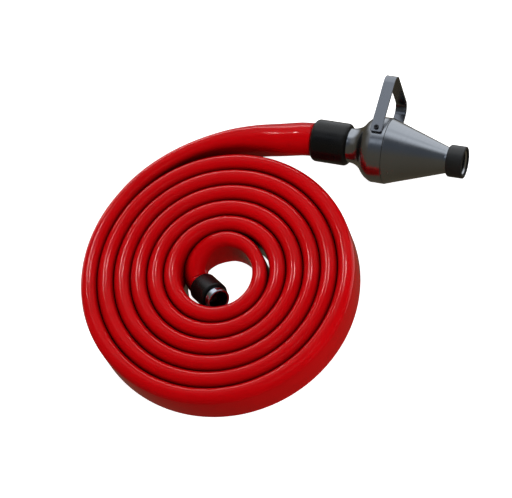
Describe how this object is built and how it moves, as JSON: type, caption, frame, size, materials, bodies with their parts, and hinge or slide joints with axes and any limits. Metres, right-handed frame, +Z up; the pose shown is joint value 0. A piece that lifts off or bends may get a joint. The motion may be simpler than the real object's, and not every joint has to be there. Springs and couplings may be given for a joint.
{
  "type": "fire hose with nozzle",
  "caption": "Red fire hose coiled flat on its edge, with a conical metal shut-off nozzle and bail handle at its outer end and a pipe connector in the middle.",
  "frame": {"origin": "on the surface that it lies on, under the middle of the box of the nozzle with its coupling", "axes": "+X along the nozzle's axis towards its outlet, +Y towards the bail handle's grip at rest, +Z up"},
  "size_m": [0.5388, 0.5639, 0.1128],
  "materials": {
    "nozzle_metal": "polished, bluish grey",
    "bail_metal": "satin",
    "mouthpiece_metal": "satin",
    "coupling_metal": "machined",
    "connector_chrome": "polished",
    "valve_metal": "plated",
    "stem_steel": "machined",
    "screw_steel": "blackened",
    "seat_plastic": "smooth",
    "seal_rubber": "matt",
    "sleeve_rubber": "satin",
    "tip_rubber": "matt",
    "hose_red": "glossy, soft"
  },
  "bodies": {
    "nozzle_and_hose": {"nozzle_body": "nozzle_metal", "front_cone": "nozzle_metal", "body_seal_ring": "seal_rubber", "valve_seat": "seat_plastic", "stem_seal_rings": "seal_rubber", "mouthpiece_seal": "seal_rubber", "hose_tailpiece": "coupling_metal", "coupling_gasket": "seal_rubber", "hose_cuff": "hose_red", "hose_ferrule": "stem_steel", "hose_coil": "hose_red", "hose_tail": "hose_red", "hose_taper": "hose_red", "hose_inner_end": "hose_red", "hose_inner_taper": "hose_red", "inlet_tailpiece": "coupling_metal", "inlet_gasket": "seal_rubber", "inlet_connector": "connector_chrome", "inlet_hose_cuff": "hose_red", "inlet_ferrule": "stem_steel"},
    "bail": {"bail_handle": "bail_metal", "bail_screws": "screw_steel", "upper_trunnion": "stem_steel", "lower_trunnion": "stem_steel", "valve_segment": "valve_metal"},
    "tip": {"mouthpiece": "mouthpiece_metal", "tip_ring": "tip_rubber"},
    "nozzle_swivel": {"swivel_nut": "coupling_metal", "nut_sleeve": "sleeve_rubber"},
    "inlet_swivel": {"inlet_nut": "coupling_metal", "inlet_sleeve": "sleeve_rubber"}
  },
  "joints": [
    {"name": "bail_turn", "type": "hinge", "parent": "nozzle_and_hose", "child": "bail", "pos_m": [-0.014, -0.0175, 0.0564], "axis": [0, 0, 1], "range_deg": [-45, 45]},
    {"name": "tip_unscrew", "type": "hinge", "parent": "nozzle_and_hose", "child": "tip", "pos_m": [0.106, -0.028, 0.0564], "axis": [1, 0, 0], "range_deg": [0, 360]},
    {"name": "nozzle_swivel_spin", "type": "hinge", "parent": "nozzle_and_hose", "child": "nozzle_swivel", "pos_m": [-0.0905, -0.028, 0.0564], "axis": [1, 0, 0], "continuous": true},
    {"name": "inlet_swivel_spin", "type": "hinge", "parent": "nozzle_and_hose", "child": "inlet_swivel", "pos_m": [-0.21825, -0.29732, 0.03877], "axis": [0.7659, -0.5166, 0.3827], "continuous": true}
  ]
}
